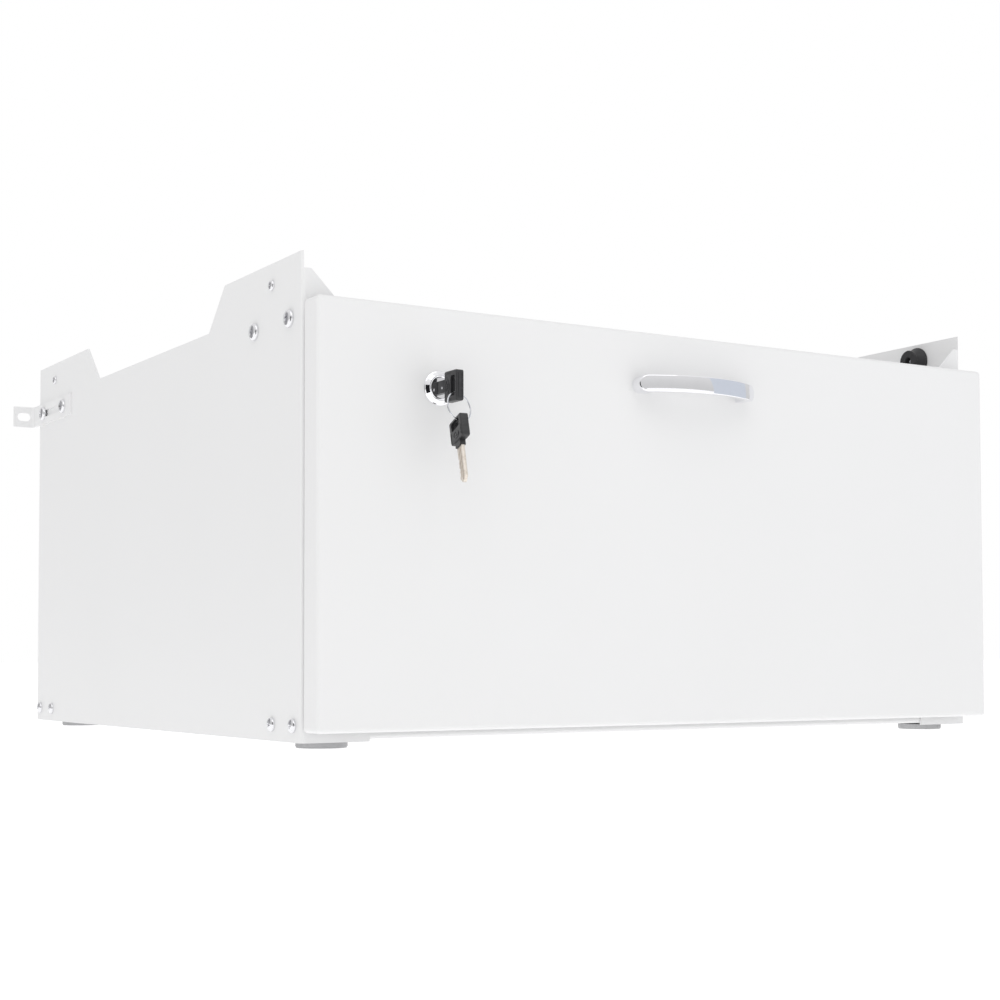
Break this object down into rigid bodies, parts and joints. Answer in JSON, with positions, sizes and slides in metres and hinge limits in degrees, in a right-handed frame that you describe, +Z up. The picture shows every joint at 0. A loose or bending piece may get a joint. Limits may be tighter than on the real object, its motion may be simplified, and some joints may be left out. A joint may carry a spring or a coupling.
{
  "type": "lockable parcel drawer cabinet",
  "caption": "Low white steel locker cabinet with a full-width locking drawer on ball slides, bow handle, cam lock with keys, corner tabs with rubber buffers, wall brackets and glide feet.",
  "frame": {"origin": "centre of the overall footprint, on the floor under the feet", "axes": "+Z up, -Y the drawer front, +X to the right as seen from the front"},
  "size_m": [0.683, 0.6796, 0.3465],
  "materials": {
    "powder_white": "satin white powder coat",
    "zinc_steel": "zinc plated, semi-bright",
    "bright_screw": "bright nickel plated",
    "bright_chrome": "polished chrome",
    "nickel_silver": "milled nickel silver",
    "black_rubber": "matt black rubber",
    "black_plastic": "moulded, fine satin",
    "grey_plastic": "moulded glide",
    "clear_bumper": "soft translucent white"
  },
  "bodies": {
    "cabinet": {"side_panel_left": "powder_white", "side_panel_right": "powder_white", "top_deck": "powder_white", "deck_stiffener_front": "powder_white", "deck_stiffener_rear": "powder_white", "floor_pan": "powder_white", "back_panel": "powder_white", "back_rivets": "zinc_steel", "slide_support_left": "powder_white", "slide_support_right": "powder_white", "slide_outer_left": "zinc_steel", "slide_outer_right": "zinc_steel", "wall_bracket_left": "powder_white", "wall_bracket_right": "powder_white", "rubber_buffer_front_left": "black_rubber", "rubber_buffer_front_right": "black_rubber", "rubber_buffer_rear_left": "black_rubber", "rubber_buffer_rear_right": "black_rubber", "foot_front_left": "grey_plastic", "foot_front_right": "grey_plastic", "foot_rear_left": "grey_plastic", "foot_rear_right": "grey_plastic", "foot_nuts": "zinc_steel", "deck_bolts": "bright_screw", "deck_nuts": "zinc_steel", "base_bolts": "bright_screw", "base_nuts": "zinc_steel", "buffer_screws": "bright_screw", "front_bumpers": "clear_bumper"},
    "drawer": {"drawer_front_skin": "powder_white", "drawer_front_backing": "powder_white", "drawer_floor": "powder_white", "drawer_back": "powder_white", "drawer_side_left": "powder_white", "drawer_side_right": "powder_white", "front_angle_left": "powder_white", "front_angle_right": "powder_white", "front_screws": "zinc_steel", "slide_inner_left": "zinc_steel", "slide_inner_right": "zinc_steel", "bow_handle": "bright_chrome", "handle_screws": "zinc_steel", "lock_body": "bright_chrome", "lock_nut": "zinc_steel"},
    "slide_middle": {"slide_middle_left": "zinc_steel", "slide_middle_right": "zinc_steel"},
    "outer_cages": {"ball_cage_outer_left": "zinc_steel", "ball_cage_outer_right": "zinc_steel"},
    "inner_cages": {"ball_cage_inner_left": "zinc_steel", "ball_cage_inner_right": "zinc_steel"},
    "lock_barrel": {"lock_plug": "black_plastic", "lock_cam": "zinc_steel", "cam_screw": "zinc_steel"},
    "key": {"key_head": "black_plastic", "key_blade": "nickel_silver"},
    "ring": {"key_ring": "bright_screw"},
    "spare_key": {"spare_key_head": "black_plastic", "spare_key_blade": "nickel_silver"}
  },
  "joints": [
    {"name": "drawer_slide", "type": "slide", "parent": "cabinet", "child": "drawer", "axis": [0, -1, 0], "range_m": [0, 0.46]},
    {"name": "middle_slide", "type": "slide", "parent": "cabinet", "child": "slide_middle", "axis": [0, -1, 0], "range_m": [0, 0.23]},
    {"name": "outer_cage_slide", "type": "slide", "parent": "cabinet", "child": "outer_cages", "axis": [0, -1, 0], "range_m": [0, 0.115]},
    {"name": "inner_cage_slide", "type": "slide", "parent": "cabinet", "child": "inner_cages", "axis": [0, -1, 0], "range_m": [0, 0.345]},
    {"name": "lock_turn", "type": "hinge", "parent": "drawer", "child": "lock_barrel", "pos_m": [-0.225, -0.2987, 0.2538], "axis": [0, -1, 0], "range_deg": [0, 90]},
    {"name": "key_pull", "type": "slide", "parent": "lock_barrel", "child": "key", "axis": [0, -1, 0], "range_m": [0, 0.0301]},
    {"name": "ring_swing", "type": "hinge", "parent": "key", "child": "ring", "pos_m": [-0.225, -0.3243, 0.2475], "axis": [1, 0, 0], "range_deg": [-40, 10]},
    {"name": "spare_key_swing", "type": "hinge", "parent": "ring", "child": "spare_key", "pos_m": [-0.225, -0.32978, 0.22702], "axis": [1, 0, 0], "range_deg": [-40, 5]}
  ],
  "couplings": [
    {"joint": "middle_slide", "follows": "drawer_slide", "ratio": 0.5},
    {"joint": "outer_cage_slide", "follows": "drawer_slide", "ratio": 0.25},
    {"joint": "inner_cage_slide", "follows": "drawer_slide", "ratio": 0.75}
  ]
}
